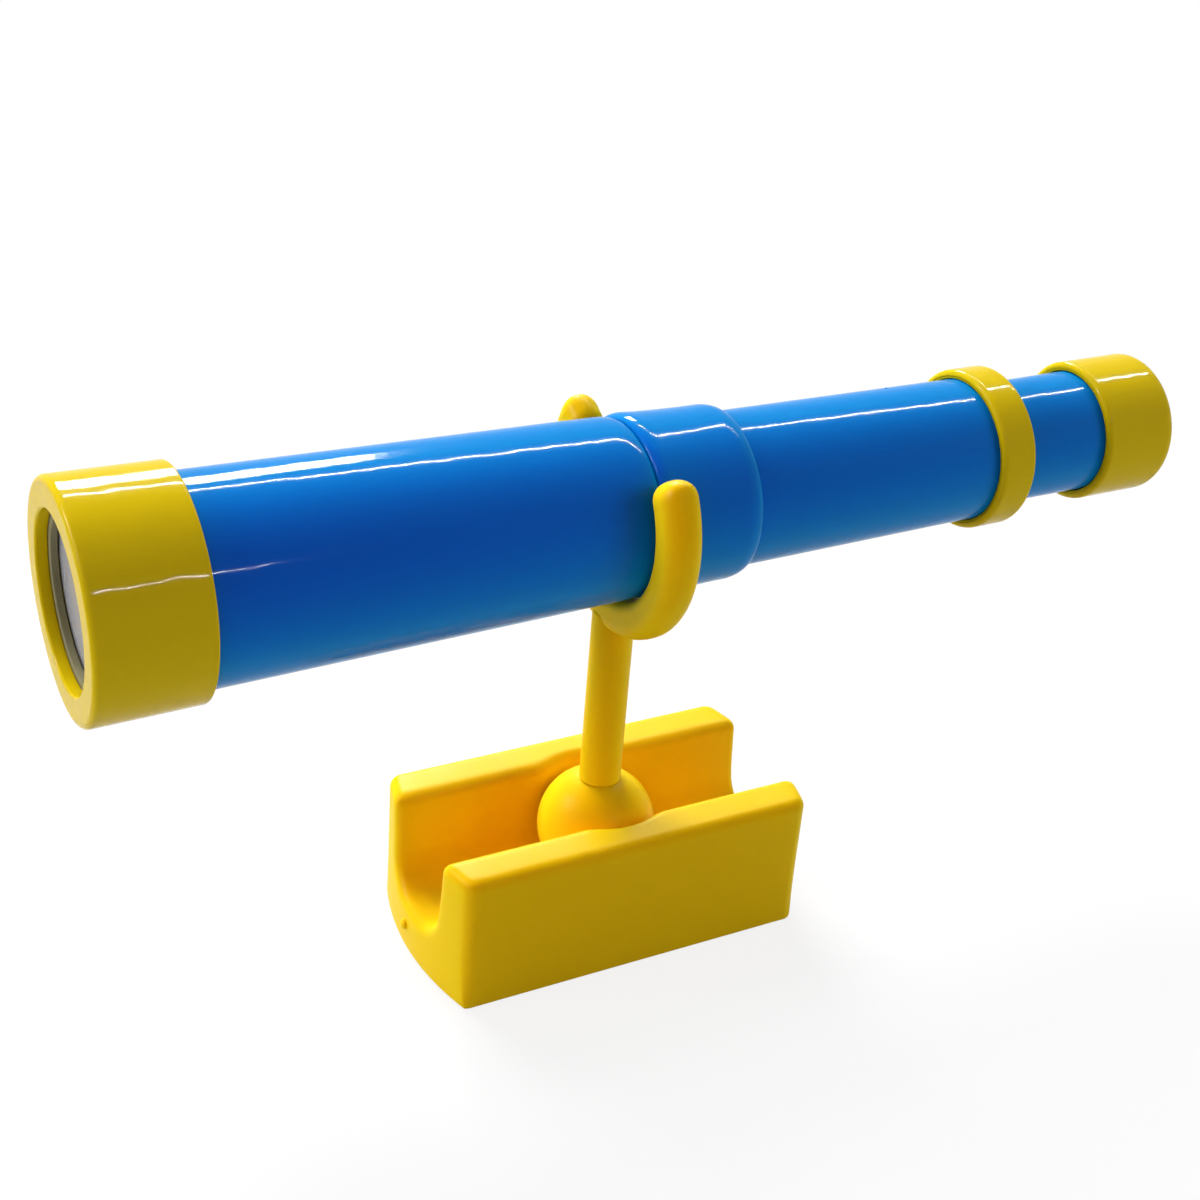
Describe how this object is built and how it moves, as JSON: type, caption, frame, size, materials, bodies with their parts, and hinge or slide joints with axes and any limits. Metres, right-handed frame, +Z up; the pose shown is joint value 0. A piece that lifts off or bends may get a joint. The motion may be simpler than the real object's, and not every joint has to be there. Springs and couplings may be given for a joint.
{
  "type": "toy telescope",
  "caption": "Toy spyglass with draw tubes, held in a snap clip on a stem whose ball swivels in a channel-shaped base that screws to a rail.",
  "frame": {"origin": "centre of the base's flat underside", "axes": "+Z up; +X along the telescope towards the eyepiece; +Y across, away from the picture's near side"},
  "size_m": [0.3353, 0.0744, 0.17],
  "materials": {
    "stand_yellow": "satin moulded",
    "cap_yellow": "high gloss",
    "tube_blue": "high gloss",
    "ring_grey": "satin moulded",
    "lens_clear": "clear moulded"
  },
  "bodies": {
    "base": {"base_channel": "stand_yellow"},
    "ball": {"swivel_ball": "stand_yellow"},
    "stem": {"stem": "stand_yellow"},
    "clip": {"clip_fork": "stand_yellow"},
    "barrel": {"objective_cap": "cap_yellow", "objective_lens_ring": "ring_grey", "objective_lens": "lens_clear", "main_barrel": "tube_blue", "barrel_collar": "tube_blue"},
    "middle": {"middle_tube": "tube_blue", "middle_tube_stop_ring": "tube_blue", "middle_tube_end_ring": "cap_yellow"},
    "eyepiece": {"eyepiece_tube": "tube_blue", "eyepiece_tube_stop_ring": "tube_blue", "eyepiece_cap": "cap_yellow", "eyepiece_lens": "lens_clear", "eyepiece_lens_ring": "ring_grey"}
  },
  "joints": [
    {"name": "side_lean", "type": "hinge", "parent": "base", "child": "ball", "pos_m": [0, 0, 0.0318], "axis": [1, 0, 0], "range_deg": [-20, 20]},
    {"name": "fore_aft_lean", "type": "hinge", "parent": "ball", "child": "stem", "pos_m": [0, 0, 0.0318], "axis": [0, 1, 0], "range_deg": [-25, 25]},
    {"name": "stem_swivel", "type": "hinge", "parent": "stem", "child": "clip", "pos_m": [0, 0, 0.0318], "axis": [0, 0, 1], "continuous": true},
    {"name": "barrel_roll", "type": "hinge", "parent": "clip", "child": "barrel", "pos_m": [0, 0, 0.1385], "axis": [1, 0, 0], "continuous": true},
    {"name": "middle_draw", "type": "slide", "parent": "barrel", "child": "middle", "axis": [1, 0, 0], "range_m": [-0.075, 0]},
    {"name": "eyepiece_draw", "type": "slide", "parent": "middle", "child": "eyepiece", "axis": [1, 0, 0], "range_m": [-0.027, 0]}
  ]
}
